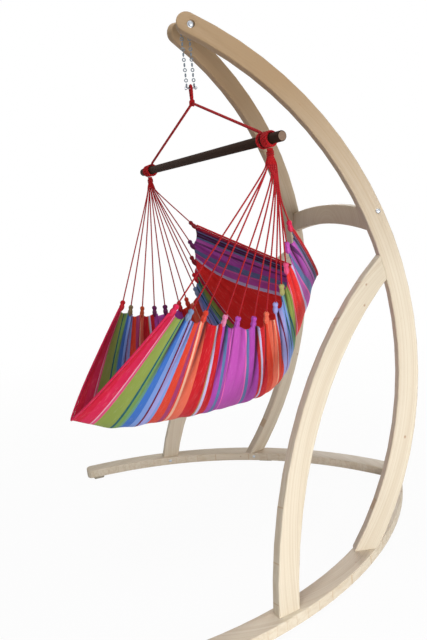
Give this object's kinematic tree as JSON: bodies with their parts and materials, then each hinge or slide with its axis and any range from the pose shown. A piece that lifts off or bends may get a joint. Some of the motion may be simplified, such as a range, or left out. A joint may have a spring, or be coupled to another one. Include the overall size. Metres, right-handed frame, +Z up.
{
  "type": "hammock chair with stand",
  "caption": "Hammock chair: a striped cloth seat on cords, a spreader bar, rope and chain, hung from a curved laminated wooden stand.",
  "frame": {"origin": "on the floor, under the middle of the whole part's box", "axes": "+Z up, the seat opens towards -Y, +X is the sitter's left side"},
  "size_m": [1.672, 1.4978, 2.0827],
  "materials": {
    "spruce": "clear satin oil",
    "steel": "zinc plated",
    "rubber": "matt",
    "bar_wood": "dark stain, satin",
    "red_rope": "twisted cotton",
    "seat_cord": "thin twisted cotton cords in many colours",
    "striped_cloth": "woven cotton in stripes of many colours"
  },
  "bodies": {
    "stand": {"runner_right": "spruce", "runner_left": "spruce", "arch_right": "spruce", "arch_left": "spruce", "strut_right": "spruce", "strut_left": "spruce", "crossbar": "spruce", "foot_pad_front_right": "rubber", "foot_pad_front_left": "rubber", "foot_pad_side_right": "rubber", "foot_pad_side_left": "rubber", "foot_pad_rear": "rubber", "rear_tongue": "spruce", "splice_screw_right": "steel", "splice_screw_left": "steel", "arch_foot_screw_right": "steel", "arch_foot_screw_left": "steel", "strut_foot_screw_right": "steel", "strut_foot_screw_left": "steel", "strut_head_screw_right": "steel", "strut_head_screw_left": "steel", "crossbar_screw_right": "steel", "crossbar_screw_left": "steel", "apex_bolt": "steel", "apex_nut": "steel", "apex_washer_right": "steel", "apex_washer_left": "steel", "apex_sleeve": "steel"},
    "chain": {"chain_top_link": "steel", "chain_front": "steel", "chain_rear": "steel", "chain_pin": "steel", "chain_pin_nut": "steel"},
    "rope": {"hanging_rope": "red_rope"},
    "bar": {"rope_arm_right": "red_rope", "rope_arm_left": "red_rope", "spreader_bar": "bar_wood"},
    "seat": {"cord_winding_right": "red_rope", "cord_winding_left": "red_rope", "cord_bundle_right": "red_rope", "cord_bundle_left": "red_rope", "cord_right_1": "seat_cord", "cord_right_2": "seat_cord", "cord_right_3": "seat_cord", "cord_right_4": "seat_cord", "cord_right_5": "seat_cord", "cord_right_6": "seat_cord", "cord_left_1": "seat_cord", "cord_left_2": "seat_cord", "cord_left_3": "seat_cord", "cord_left_4": "seat_cord", "cord_left_5": "seat_cord", "cord_left_6": "seat_cord", "seat_cloth": "striped_cloth", "front_hem": "red_rope", "back_hem": "red_rope"}
  },
  "joints": [
    {"name": "swing_front_back", "type": "hinge", "parent": "stand", "child": "chain", "pos_m": [0, -0.10769, 2.035], "axis": [1, 0, 0], "range_deg": [-25, 4]},
    {"name": "swing_sideways", "type": "hinge", "parent": "chain", "child": "rope", "pos_m": [0, -0.10769, 1.8227], "axis": [0, 1, 0], "range_deg": [-4, 4]},
    {"name": "bar_twist", "type": "hinge", "parent": "rope", "child": "bar", "pos_m": [0, -0.10769, 1.7667], "axis": [0, 0, 1], "range_deg": [-15, 10]},
    {"name": "seat_rock", "type": "hinge", "parent": "bar", "child": "seat", "pos_m": [0, -0.10769, 1.5567], "axis": [0.9882, 0.153, 0], "range_deg": [-8, 2]}
  ]
}
